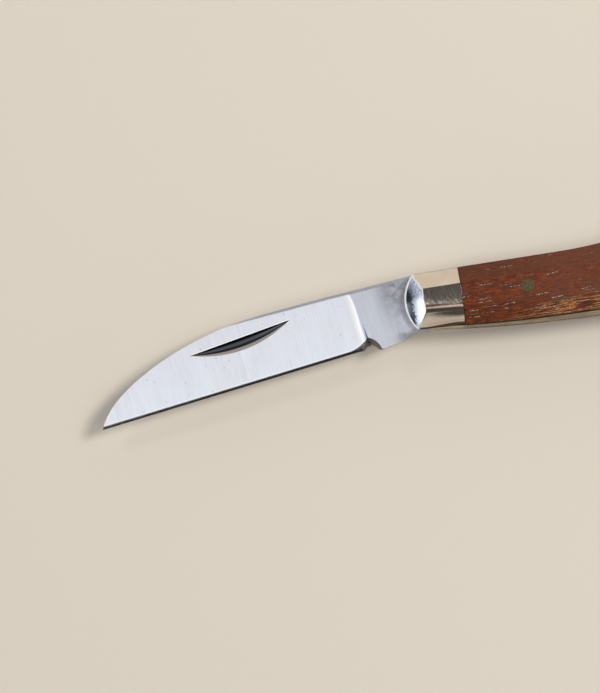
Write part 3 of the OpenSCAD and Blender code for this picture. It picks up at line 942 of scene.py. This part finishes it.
# Heights under the top of the scales between which the bolster's flat starts
FLAT_START = (0.14, 0.05)
# Distances before the bolster's rear edge between which its flat is painted dark as shade
REAR_SHADE = (0.18, 0.12)
# Turn of the buffing lines on the flat
BUFF_TURN = math.radians(117)
# Painted dark reflection at the hollow's front: where it ends along the handle, over what length, how far
# its own pattern spreads it, how its end leans, and where it fades at the back and at the belly
DARK_FRONT_END = -3.75
DARK_FRONT_FADE = 0.1
DARK_FRONT_SPREAD = 2.6
DARK_FRONT_LEAN = 0.1
DARK_FRONT_BACK = (2.6, 3.8)
DARK_FRONT_BELLY = (-4.2, -3.4)
# Where the hollow is painted darker and clouded towards the back, as a dark reflection
DARKER_BACK = (0.2, 2.2)
# Line of the crease between the flat and the belly facet, how far from it the reddish paint that darkens its
# highlight fades, where that starts behind the hollow, and where it grows weaker
CREASE_Y = -0.78
CREASE_REACH = (0.25, 0.75)
CREASE_START = (-4.5, -3.5)
CREASE_WEAKER = (-1.5, 3.5)
# How high the painted shade in the seam along the belly reaches on the wood
WOOD_SEAM = 0.9
# Where the liner's paler front under the bolster ends
PALE_FRONT_END = (4.7, 5.4)
# Direction of the grain, and how fast the back facet's crease and the belly rise along the handle
GRAIN_TURN = math.radians(5)
BACK_SLOPE = 0.05
BELLY_SLOPE = 0.14
# Where the back facet starts across the handle, and where the wood grows paler along it
FACET_START = (3.2, 4.1)
PALER = (8.0, 32.0)
# Golden figure along the belly: its fade above, its start, and where it stops rising with the belly
FIGURE_TOP = (-6.2, -4.4)
FIGURE_START = (12.0, 23.0)
FIGURE_LEVEL = 36.0


def spring_steel(net):
    """Back spring: ground along its length."""
    place = net.place()
    lines = brushed(net, place, 1.0, LENGTHWISE)["Lines"]
    tone = net.blend(lines, (0.48, 0.48, 0.50), (0.62, 0.62, 0.64))
    return surface(net, tone, 0.34, net.plus(lines, scratched(net, place, 0.7)), 0.004)


def buffed_flat(net, place, axes, tone):
    """Slanted buffing lines on the bolster's flat, whose rear edge is painted dark as shade."""
    x, y, z = axes
    top = cover_high.z - pivot_z
    on_flat = net.ease(net.apart(z, pivot_z), *(top - under for under in FLAT_START))
    buffing = net.streaks(place, (0.5, 4.5, 4.5), 3.0, 0.6, BUFF_TURN)
    tone = net.blend(net.times(on_flat, net.ease(buffing, 0.50, 0.66, 0.0, 0.5)), tone, (0.98, 0.93, 0.86))
    tone = net.blend(net.times(on_flat, net.ease(buffing, 0.34, 0.50, 0.6, 0.0)), tone, (0.48, 0.42, 0.36))
    # Painted shade: the flat goes near black at its rear edge, in place of the dark that the rear round
    # mirrors
    by_joint = net.plus(x, net.times(y, math.tan(JOINT_LEAN)))
    rear = net.ease(by_joint, *(JOINT_X - before for before in REAR_SHADE), 0.0, 0.9)
    return net.blend(net.times(on_flat, rear), tone, (0.10, 0.09, 0.08))


def hollow_painted_dark(net, place, axes, hollow, tone):
    """Whiter metal in the hollow, painted darker and clouded towards the back and near black at its front,
    as painted dark reflections.
    """
    x, y, _ = axes
    blotches = net.noise(place, 1.5, 4.0, 0.72, 0.4)
    reach = net.plus(net.plus(x, net.times(y, DARK_FRONT_LEAN)), net.times(blotches, DARK_FRONT_SPREAD))
    # Painted reflection: the hollow's front is painted near black for the dark that it mirrors
    dark_front = net.times(net.ease(reach, DARK_FRONT_END - DARK_FRONT_FADE, DARK_FRONT_END + DARK_FRONT_FADE, 0.95, 0.0),
                        net.ease(y, *DARK_FRONT_BACK, 1.0, 0.0), net.ease(y, *DARK_FRONT_BELLY))
    tone = net.blend(net.times(hollow, 0.8), tone, (0.92, 0.89, 0.86))
    # Painted reflection: the hollow is painted darker and mottled towards the back
    clouded = net.blend(net.ease(blotches, 0.42, 0.62), (0.20, 0.19, 0.185), (0.36, 0.345, 0.33))
    tone = net.blend(net.times(hollow, net.ease(y, *DARKER_BACK, 0.0, 0.92)), tone, clouded)
    return net.blend(net.times(hollow, dark_front), tone, (0.11, 0.10, 0.10))


def crease_painted_darker(net, axes, hollow, tone):
    """Reddish line painted darker along the crease over the belly facet, behind the hollow, as painted shade
    that dims and tints its highlight.
    """
    x, y, _ = axes
    # Painted shade: the crease is painted darker and reddish to dim its highlight
    share = net.times(net.ease(net.apart(y, CREASE_Y), *CREASE_REACH, 1.0, 0.0),
                      net.ease(x, *CREASE_WEAKER, 0.95, 0.75), net.ease(x, *CREASE_START))
    return net.blend(net.minus(share, hollow), tone, (0.32, 0.20, 0.155))


def nickel_silver(net):
    """Bolsters: a warm white metal, buffed on the flat, with painted shade at its rear edge, whiter in the
    hollow with painted dark reflections there, a reddish crease painted darker over its highlight, a painted
    highlight on the lip and crest, which barely mirror, and painted shade in the seam."""
    place = net.place()
    axes = net.axes(place)
    hollow, lip, crest = (net.node("Attribute", {"attribute_name": name}).outputs["Fac"]
                          for name in ("hollow", "lip", "crest"))
    brush = brushed(net, place, 1.3, 0.6)
    scratches = scratched(net, net.stretch(place, (1.6, 1.6, 1.6)), 0.5)
    tone = net.blend(brush["Clouds"], (0.64, 0.545, 0.45), (0.72, 0.64, 0.545))
    tone = net.blend(net.times(scratches, 0.3), tone, (0.90, 0.87, 0.82))
    tone = buffed_flat(net, place, axes, tone)
    tone = hollow_painted_dark(net, place, axes, hollow, tone)
    tone = crease_painted_darker(net, axes, hollow, tone)
    # Painted highlight: the lip and the crest are painted pale cream and made less metallic
    lip_and_crest_highlight = net.maths("MAXIMUM", lip, net.times(crest, 0.9))
    tone = net.blend(lip_and_crest_highlight, tone, (0.95, 0.925, 0.88))
    wall_top = net.ease(axes[0], *FLARE, FRONT_BELLY.wall, BOLSTER_BELLY.wall)
    # Painted shade: near black in the seam between the bolster and the liner
    seam_shade = placed(net, seam_group, place, Top=wall_top)["Mask"]
    tone = net.blend(seam_shade, tone, (0.05, 0.043, 0.037))
    rough = net.plus(net.by_share(brush["Lines"], 0.10, 0.16), net.times(scratches, 0.08))
    fine = net.plus(net.times(brush["Lines"], 0.8), net.times(scratches, 0.5))
    waves = net.times(net.noise(place, 0.8, 2.0, 0.5, 0.4), 5.0)
    return surface(net, tone, rough, net.plus(fine, waves), 0.003, net.by_share(lip_and_crest_highlight, 1.0, 0.2))


def liner_brass(net):
    """Liners: filed brass, dulled, with streaks along the handle, and paler under the bolster."""
    place = net.place()
    x, _, _ = net.axes(place)
    streaks = net.streaks(place, (0.35, 5.0, 9.0), 4.0, 0.65)
    clouds = net.noise(place, 0.35, 2.0, 0.5)
    tone = net.blend(net.ease(streaks, 0.3, 0.7), (0.21, 0.15, 0.095), (0.38, 0.295, 0.20))
    tone = net.blend(net.times(net.ease(clouds, 0.4, 0.7), 0.4), tone, (0.28, 0.23, 0.175))
    tone = net.blend(net.ease(x, *PALE_FRONT_END, 0.55, 0.0), tone, (0.66, 0.49, 0.32))
    return surface(net, tone, 0.36, net.plus(streaks, scratched(net, place, 0.6)), 0.008)


def pin_brass(net):
    """Pin heads: filed flush and tarnished olive, with dark spots."""
    place = net.place()
    mottle = net.noise(place, 2.2, 4.0, 0.65)
    spots = specked(net, place, 1.6, 0.5)
    tone = net.blend(net.ease(mottle, 0.3, 0.7), (0.068, 0.050, 0.020), (0.126, 0.096, 0.040))
    tone = net.blend(net.times(spots, 0.6), tone, (0.05, 0.04, 0.025))
    return surface(net, tone, 0.45, net.minus(mottle, spots), 0.02, 0.6)


def wavering_grain(net, place):
    """Place along the grain, which wavers slowly across it."""
    along = net.stretch(place, (1, 1, 1), GRAIN_TURN)
    drift = net.streaks(along, (0.05, 0.25, 0.25), 2.0, 0.5)
    return net.vector_maths("ADD", along, net.node("CombineXYZ", Y=net.times(drift, 2.4)).outputs[0])[0]


def bare_wood(net, place, grain, fibres):
    """Reddish bands with lighter fibres, dark flecks and dull patches."""
    bands = net.streaks(grain, (0.04, 0.8, 0.8), 3.0, 0.55)
    flecks = net.streaks(grain, (0.9, 4.4, 4.4), 4.0, 0.72, move=(11, 5, 3))
    dull = net.noise(place, 0.18, 2.0, 0.5)
    tone = net.blend(net.ease(bands, 0.25, 0.75), (0.080, 0.019, 0.006), (0.135, 0.028, 0.007))
    tone = net.blend(net.ease(fibres, 0.46, 0.60, 0.0, 0.85), tone, (0.27, 0.058, 0.012))
    tone = net.blend(net.ease(flecks, 0.50, 0.62, 0.0, 0.75), tone, (0.036, 0.012, 0.009))
    return net.blend(net.ease(dull, 0.4, 0.7, 0.0, 0.3), tone, (0.095, 0.036, 0.022))


def filled_pores(net, grain, pores, tone):
    """Dark pores, with beads of grey or tan filler along the middle of each."""
    beads = net.ease(net.streaks(grain, (1.9, 2.4, 2.4), 2.0, 0.6), 0.42, 0.60)
    filler = net.blend(net.ease(pores["Number"], 0.45, 0.7), (0.46, 0.45, 0.44), (0.62, 0.42, 0.24))
    tone = net.blend(net.times(pores["Mask"], 1.6), tone, (0.028, 0.030, 0.040))
    return net.blend(net.times(net.ease(pores["Mask"], 0.25, 0.9), beads), tone, filler)


def golden_figure(net, grain, axes, tone):
    """Broken golden lines between dark ones, low along the belly."""
    x, y, _ = axes
    rise = net.times(net.maths("MINIMUM", x, FIGURE_LEVEL), BELLY_SLOPE)
    share = net.times(net.ease(net.minus(y, rise), *FIGURE_TOP, 1.0, 0.0), net.ease(x, *FIGURE_START))
    lines = net.streaks(grain, (0.20, 4.2, 4.2), 2.0, 0.55, move=(2, 9, 4))
    glitter = net.streaks(grain, (2.3, 3.6, 3.6), 2.0, 0.6, move=(5, 1, 7))
    dark = net.times(share, net.ease(lines, 0.40, 0.50, 0.45, 0.0))
    gold = net.times(share, net.times(net.ease(lines, 0.48, 0.57), net.ease(glitter, 0.38, 0.62, 0.15, 1.0)))
    return net.blend(gold, net.blend(dark, tone, (0.045, 0.018, 0.011)), (0.56, 0.28, 0.115))


def wood(net):
    """Scales: reddish brown, open pores as short dashes along the grain, an oiled satin surface."""
    place = net.place()
    axes = net.axes(place)
    x, y, _ = axes
    grain = wavering_grain(net, place)
    fibres = net.streaks(grain, (0.6, 3.6, 3.6), 4.0, 0.72)
    tone = bare_wood(net, place, grain, fibres)
    on_facet = net.ease(net.minus(y, net.times(x, BACK_SLOPE)), *FACET_START)
    tone = net.blend(net.times(on_facet, 0.4), tone, (0.090, 0.040, 0.026))
    tone = net.blend(net.ease(x, *PALER, 0.0, 0.22), tone, (0.235, 0.078, 0.038))
    rows = net.streaks(grain, (0.03, 0.5, 0.5), 2.0, 0.5)
    cover = net.times(net.ease(rows, 0.42, 0.58, 0.12, 0.85), net.by_share(on_facet, 1.0, 0.35))
    pores = placed(net, pore_group, grain, Width=0.26, Cover=cover)
    tone = filled_pores(net, grain, pores, tone)
    tone = golden_figure(net, grain, axes, tone)
    # Painted shade: near black in the seam between the wood and the liner
    seam_shade = placed(net, seam_group, place, Top=WOOD_SEAM)["Mask"]
    tone = net.blend(seam_shade, tone, (0.018, 0.012, 0.010))
    rough = net.plus(net.ease(fibres, 0.3, 0.7, 0.48, 0.58), net.times(pores["Mask"], 0.2))
    height = net.minus(net.times(fibres, 0.5), net.times(pores["Mask"], 1.2))
    return {**surface(net, tone, rough, height, 0.03, 0.0), "IOR": 1.45, "Specular IOR Level": 0.2}


ground = material("ground steel", ground_steel)
tang = material("tang steel", tang_steel)
edge = material("sharpened steel", edge_steel)
filed = material("filed steel", filed_steel)
spine = material("spine steel", spine_steel)
nick = material("nick steel", nick_steel)
spring = material("spring steel", spring_steel)
nickel = material("nickel silver", nickel_silver)
liner = material("liner brass", liner_brass)
pins = material("pin brass", pin_brass)
timber = material("wood", wood)


# Blade


def on_blade(point):
    """Place on the blade in millimetres: from the pivot along the edge to the point, and above the edge."""
    turned = Matrix.Rotation(-EDGE_SLOPE, 2) @ (Vector(point.xy) / MM)
    return -turned.x, turned.y + EDGE_DROP


# Numbers of the blade's finishes, in the order of its materials
TANG, GROUND, EDGE, NICK, FILED, SPINE = range(6)
# How a face lies, as parts of its normal: up, below which it is steep, and towards the spine or the point
STEEP = 0.9
NICK_LEAN = 0.02
SPINE_LEAN = 0.3
EDGE_LEAN = -0.2
GROUND_LEAN = -0.05
PLUNGE_LEAN = 0.03


def blade_finish(face):
    """Number of the finish on a face of the blade."""
    to_spine = Vector((-math.sin(EDGE_SLOPE), math.cos(EDGE_SLOPE), 0))
    to_point = Vector((-math.cos(EDGE_SLOPE), -math.sin(EDGE_SLOPE), 0))
    middle = face.calc_center_median()
    reach, rise = on_blade(middle)
    steep = abs(face.normal.z) < STEEP
    lean = face.normal.dot(to_spine)
    by_nick = abs(reach - NICK_MIDDLE[0]) < NICK_REACH[0] and abs(rise - NICK_MIDDLE[1]) < NICK_REACH[1]
    if by_nick and middle.z / MM > pivot_z and (lean > NICK_LEAN or steep):
        return NICK
    if NOTCH_END < reach < HEEL and rise < NOTCH_TOP and steep:
        return FILED
    if lean > SPINE_LEAN:
        return SPINE
    if steep or lean > NICK_LEAN:
        return EDGE if lean < EDGE_LEAN and rise < BAND_TOP and reach > BAND_START else TANG
    if lean < EDGE_LEAN:
        return EDGE
    return GROUND if lean < GROUND_LEAN or face.normal.dot(to_point) > PLUNGE_LEAN else TANG


def make_blade():
    """Blade with a finish for each kind of face. The edge, the nick and the notch keep sharp edges."""
    bm = joined_copy("blade")
    for face in bm.faces:
        face.material_index = blade_finish(face)
    left_sharp = {EDGE, NICK, FILED}
    soften(bm, width=0.04, angle=math.radians(20),
           chosen=lambda e: left_sharp.isdisjoint(f.material_index for f in e.link_faces))
    obj = as_object("blade_steel_body", bm, [tang, ground, edge, nick, filed, spine])
    dress(obj, "blade", "blade_steel", "blade")


make_blade()


# Spring, liners and pins


def make_spring():
    """Back spring, softened and set in place; its front arm runs between its middle pin on the handle and
    its nose.
    """
    bm = joined_copy("back_spring")
    soften(bm, width=0.1, angle=math.radians(25))
    obj = as_object("spring_leaf", bm, [spring])
    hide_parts("back_spring")
    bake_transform(obj)


make_spring()

for node in ("mark_liner", "pile_liner"):
    plate = joined_copy(node)
    soften(plate, width=0.06, angle=math.radians(30))
    dress(as_object(node + "_plate", plate, [liner]), "handle", "liner_brass", node)

for node in ("middle_pin", "butt_pin", "mark_scale_rivet", "pile_scale_rivet"):
    rod = joined_copy(node)
    soften(rod, width=0.08, angle=math.radians(30))
    dress(as_object(node + "_rod", rod, [pins]), "handle", "pin_brass", node)

for node in ("pivot_pin", "mark_bolster_rivets", "pile_bolster_rivets"):
    frame["nodes"][node].material_slots[0].material = nickel


# Scales and bolsters


# How far a hole runs out past both sides of the knife
HOLE_RUN_OUT = 1.0


def pin_hole(node):
    """Hole for a pin, from its CAD solid."""
    corner, far_corner = box_mm(node)
    middle = (corner + far_corner) / 2
    return middle.x, middle.y, far_corner.x - corner.x, -HOLE_RUN_OUT, 2 * pivot_z + HOLE_RUN_OUT


holes = [pin_hole(node) for node in ("mark_scale_rivet", "middle_pin", "butt_pin")]
KNIFE_SIDES = ("mark", "pile")

for side in KNIFE_SIDES:
    scale = as_object(side + "_scale_wood", on_side(side, scale_bmesh()), [timber])
    dress(bored(scale, holes), "handle", "wood", side + "_scale")

for side in KNIFE_SIDES:
    bolster = as_object(side + "_bolster_cap", on_side(side, bolster_bmesh()), [nickel])
    dress(bolster, "handle", "nickel_silver", side + "_bolster")


# Floor, light and camera

FLOOR_COLOUR = (0.78, 0.70, 0.58, 1.0)
# Half of the floor's side, and its gap under the knife
FLOOR_HALF = 3.0
FLOOR_GAP = 0.02 * MM


def make_floor():
    bm = bmesh.new()
    bmesh.ops.create_grid(bm, x_segments=1, y_segments=1, size=FLOOR_HALF)
    for vert in bm.verts:
        vert.co.z = cad_bounds[0][2] - FLOOR_GAP
    obj = as_object("floor", bm, [])
    paper = bpy.data.materials.new("floor")
    paper.use_nodes = True
    shader = paper.node_tree.nodes["Principled BSDF"]
    shader.inputs["Base Color"].default_value = FLOOR_COLOUR
    shader.inputs["Roughness"].default_value = 0.9
    obj.data.materials.append(paper)


# The studio round the knife, by direction. A pair gives the two heights, or other parts of a direction,
# between which something fades in or out.
BELLY_WALL = (-0.6, -0.3)
POINT_WALL = (-0.8, -0.4)
WALL_FOOT = (0.0, 0.16)
STRIP_BELLY = (-0.44, -0.24)
STRIP_BACK = (-0.06, 0.0)
STRIP_UP = (0.35, 0.7)
WARM_UP = (0.1, 0.6)
# Levels of the ceiling and the strip light, against 1 for the walls
CEILING = 0.12
STRIP = 1.4


def make_world():
    """Studio round the knife: walls lit from the sides, a dim ceiling, and a soft strip light in it that
    runs along the knife, a little to the belly side of the lens."""
    world = bpy.data.worlds.new("studio")
    bpy.context.scene.world = world
    world.use_nodes = True
    net = Net(world.node_tree)
    x, y, z = net.axes(net.node("TexCoord").outputs["Generated"])
    to_belly = net.ease(y, *BELLY_WALL, 1.0, 0.0)
    to_point = net.ease(x, *POINT_WALL, 1.0, 0.0)

    def by_wall(back, belly, point):
        """Value that differs from the back wall to the belly's, with a change towards the point."""
        return net.plus(net.by_share(to_belly, back, belly), net.by_share(to_point, 0.0, point))

    top = by_wall(0.60, 0.48, -0.05)
    fade = by_wall(0.30, 0.20, 0.15)
    foot = net.maths("MAXIMUM", net.ease(z, *WALL_FOOT, 0.35, 1.0), to_point)
    walls = net.times(net.ease(z, net.minus(top, fade), top, 1.0, CEILING), foot,
                      net.by_share(to_belly, 1.0, 0.75), net.by_share(to_point, 0.95, 1.7))
    strip = net.times(net.ease(y, *STRIP_BELLY), net.ease(y, *STRIP_BACK, 1.0, 0.0), net.ease(z, *STRIP_UP))
    warm = net.blend(net.ease(z, *WARM_UP), (1.0, 0.92, 0.82), (1.0, 1.0, 1.0))
    background = world.node_tree.nodes["Background"]
    net.feed(background.inputs["Color"], net.blend(to_point, warm, (0.84, 0.97, 1.22)))
    net.feed(background.inputs["Strength"], net.plus(walls, net.times(strip, STRIP)))


def make_lamp(name, place, size, power):
    """Round lamp that is turned to the pivot."""
    data = bpy.data.lights.new(name, "AREA")
    data.shape = "DISK"
    data.size = size
    data.energy = power
    obj = bpy.data.objects.new(name, data)
    bpy.context.scene.collection.objects.link(obj)
    obj.location = place
    obj.rotation_euler = (-Vector(place)).to_track_quat("-Z", "Y").to_euler()


# The camera looks down on the knife, a little off the plumb line and turned a little to the handle
VIEW_DISTANCE = 541.0
VIEW_ELEVATION = math.radians(86)
VIEW_TURN = math.radians(-5.2)
VIEW_TARGET = Vector((-29.22, -6.11, 6.0))
LENS = 135.0
SENSOR = 36.0


def make_camera():
    data = bpy.data.cameras.new("camera")
    data.lens = LENS
    data.sensor_width = SENSOR
    data.clip_start = 0.01
    obj = bpy.data.objects.new("camera", data)
    bpy.context.scene.collection.objects.link(obj)
    right = Vector((math.cos(VIEW_TURN), math.sin(VIEW_TURN), 0))
    ahead = Vector((-math.sin(VIEW_TURN), math.cos(VIEW_TURN), 0))
    backward = -ahead * math.cos(VIEW_ELEVATION) + Vector((0, 0, math.sin(VIEW_ELEVATION)))
    up = backward.cross(right)
    turn = Matrix((right, up, backward)).transposed().to_4x4()
    obj.matrix_world = Matrix.Translation((VIEW_TARGET + backward * VIEW_DISTANCE) * MM) @ turn
    bpy.context.scene.camera = obj


make_floor()
make_world()
make_lamp("key", (0.90, 0.27, 1.10), 0.5, 11.3)
make_lamp("glint", (-0.60, 0.60, 0.75), 0.15, 1.0)
make_camera()
bpy.context.scene.view_settings.view_transform = "Standard"
